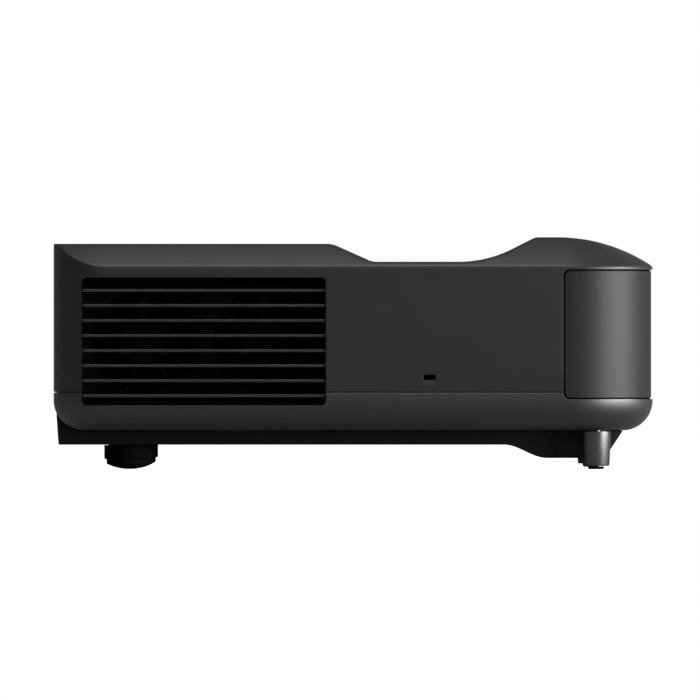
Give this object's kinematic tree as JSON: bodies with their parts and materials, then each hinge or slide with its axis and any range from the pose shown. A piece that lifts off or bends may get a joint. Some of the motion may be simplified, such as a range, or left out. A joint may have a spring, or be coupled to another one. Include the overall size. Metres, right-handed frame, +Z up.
{
  "type": "home projector",
  "caption": "Ultra-short-throw projector: low black case, stepped top with a projection window, wrap-around front grille, side louvres and four feet.",
  "frame": {"origin": "centre of the footprint, on the surface that the feet stand on", "axes": "+X across the width, -Y towards the audience (front grille), +Y towards the wall, +Z up"},
  "size_m": [0.467, 0.4, 0.1548],
  "materials": {
    "case_plastic": "fine-textured matte black moulding",
    "pan_plastic": "plain matte black moulding",
    "gloss_trim": "gloss black",
    "grille_cloth": "fine woven speaker cloth",
    "rubber": "soft matte",
    "foot_metal": "satin grey",
    "steel": "brushed",
    "aluminium": "cast and machined",
    "black_anodised": "black-anodised aluminium",
    "copper": "bare copper",
    "brass": "machined",
    "circuit_board": "solder-masked glass fibre",
    "window_glass": "coated",
    "mirror_coat": "front-silvered",
    "filter_foam": "pleated paper and foam",
    "cone_paper": "pressed paper",
    "phosphor": "phosphor coat",
    "lamp_plastic": "frosted"
  },
  "bodies": {
    "root": {"upper_case": "case_plastic", "lower_case": "case_plastic", "base_pan": "pan_plastic", "pan_screw_1": "steel", "pan_screw_2": "steel", "pan_screw_3": "steel", "pan_screw_4": "steel", "rear_foot_left": "rubber", "rear_foot_right": "rubber", "front_foot_nut_left": "brass", "front_foot_nut_right": "brass", "grille_cloth": "grille_cloth", "grille_frame": "case_plastic", "exhaust_louvres": "case_plastic", "window_bezel": "gloss_trim", "window_glass": "window_glass", "socket_panel": "case_plastic", "hdmi_socket_1": "steel", "hdmi_socket_2": "steel", "usb_socket": "steel", "optical_audio_socket": "gloss_trim", "mains_inlet": "pan_plastic", "status_lamp": "lamp_plastic", "control_board": "circuit_board", "chassis_plate": "steel", "main_board": "circuit_board", "power_board": "circuit_board", "laser_module": "aluminium", "wheel_motor": "steel", "optical_block": "aluminium", "lens_barrel": "pan_plastic", "focus_motor": "steel", "aspheric_mirror": "mirror_coat", "mirror_bracket": "pan_plastic", "heat_sink": "black_anodised", "heat_pipe": "copper", "exhaust_fan_rear_housing": "pan_plastic", "exhaust_fan_front_housing": "pan_plastic", "intake_fan_housing": "pan_plastic", "speaker_box_left": "pan_plastic", "speaker_box_right": "pan_plastic", "remote_receiver": "gloss_trim"},
    "foot_pad_left": {"front_foot_pad_left": "rubber"},
    "foot_pad_right": {"front_foot_pad_right": "rubber"},
    "foot_barrel_left": {"front_foot_barrel_left": "foot_metal", "front_foot_stud_left": "steel"},
    "foot_barrel_right": {"front_foot_barrel_right": "foot_metal", "front_foot_stud_right": "steel"},
    "filter_door": {"filter_cover": "case_plastic", "air_filter": "filter_foam"},
    "power_button": {"power_button": "case_plastic"},
    "input_button": {"input_button": "case_plastic"},
    "phosphor_wheel": {"phosphor_wheel": "phosphor"},
    "focus_ring": {"focus_ring": "pan_plastic"},
    "focus_pinion": {"focus_pinion": "brass"},
    "exhaust_rotor_rear": {"exhaust_fan_rear_rotor": "pan_plastic"},
    "exhaust_rotor_front": {"exhaust_fan_front_rotor": "pan_plastic"},
    "intake_rotor": {"intake_fan_rotor": "pan_plastic"},
    "cone_left": {"speaker_cone_left": "cone_paper"},
    "cone_right": {"speaker_cone_right": "cone_paper"}
  },
  "joints": [
    {"name": "foot_lift_left", "type": "slide", "parent": "root", "child": "foot_pad_left", "axis": [0, 0, -1], "range_m": [0, 0.01]},
    {"name": "foot_turn_left", "type": "hinge", "parent": "foot_pad_left", "child": "foot_barrel_left", "pos_m": [-0.2, -0.162, 0.01], "axis": [0, 0, -1], "range_deg": [0, 1440]},
    {"name": "foot_lift_right", "type": "slide", "parent": "root", "child": "foot_pad_right", "axis": [0, 0, -1], "range_m": [0, 0.01]},
    {"name": "foot_turn_right", "type": "hinge", "parent": "foot_pad_right", "child": "foot_barrel_right", "pos_m": [0.2, -0.162, 0.01], "axis": [0, 0, -1], "range_deg": [0, 1440]},
    {"name": "filter_door_swing", "type": "hinge", "parent": "root", "child": "filter_door", "pos_m": [0.2311, 0.09965, 0.0453], "axis": [0, 1, 0], "range_deg": [0, 60]},
    {"name": "power_button_press", "type": "slide", "parent": "root", "child": "power_button", "axis": [-1, 0, 0], "range_m": [0, 0.001], "stiffness_N_per_m": 600, "springref_m": -0.001},
    {"name": "input_button_press", "type": "slide", "parent": "root", "child": "input_button", "axis": [-1, 0, 0], "range_m": [0, 0.001], "stiffness_N_per_m": 600, "springref_m": -0.001},
    {"name": "phosphor_wheel_spin", "type": "hinge", "parent": "root", "child": "phosphor_wheel", "pos_m": [-0.0456, 0.112, 0.078], "axis": [1, 0, 0], "continuous": true},
    {"name": "focus_ring_turn", "type": "hinge", "parent": "root", "child": "focus_ring", "pos_m": [0, 0.016, 0.08], "axis": [0, 1, 0], "range_deg": [-18, 18]},
    {"name": "focus_pinion_turn", "type": "hinge", "parent": "root", "child": "focus_pinion", "pos_m": [0.039, 0.016, 0.08], "axis": [0, 1, 0], "range_deg": [-60, 60]},
    {"name": "exhaust_rotor_rear_spin", "type": "hinge", "parent": "root", "child": "exhaust_rotor_rear", "pos_m": [-0.208, 0.1405, 0.0853], "axis": [1, 0, 0], "continuous": true},
    {"name": "exhaust_rotor_front_spin", "type": "hinge", "parent": "root", "child": "exhaust_rotor_front", "pos_m": [-0.208, 0.06, 0.0853], "axis": [1, 0, 0], "continuous": true},
    {"name": "intake_rotor_spin", "type": "hinge", "parent": "root", "child": "intake_rotor", "pos_m": [0.204, 0.06, 0.088], "axis": [1, 0, 0], "continuous": true},
    {"name": "cone_left_throw", "type": "slide", "parent": "root", "child": "cone_left", "axis": [0, -1, 0], "range_m": [-0.0015, 0.0015], "stiffness_N_per_m": 1500},
    {"name": "cone_right_throw", "type": "slide", "parent": "root", "child": "cone_right", "axis": [0, -1, 0], "range_m": [-0.0015, 0.0015], "stiffness_N_per_m": 1500}
  ],
  "couplings": [
    {"joint": "foot_turn_left", "follows": "foot_lift_left", "rad_per_m": 2513.3},
    {"joint": "foot_turn_right", "follows": "foot_lift_right", "rad_per_m": 2513.3},
    {"joint": "focus_pinion_turn", "follows": "focus_ring_turn", "ratio": -3.3333}
  ]
}
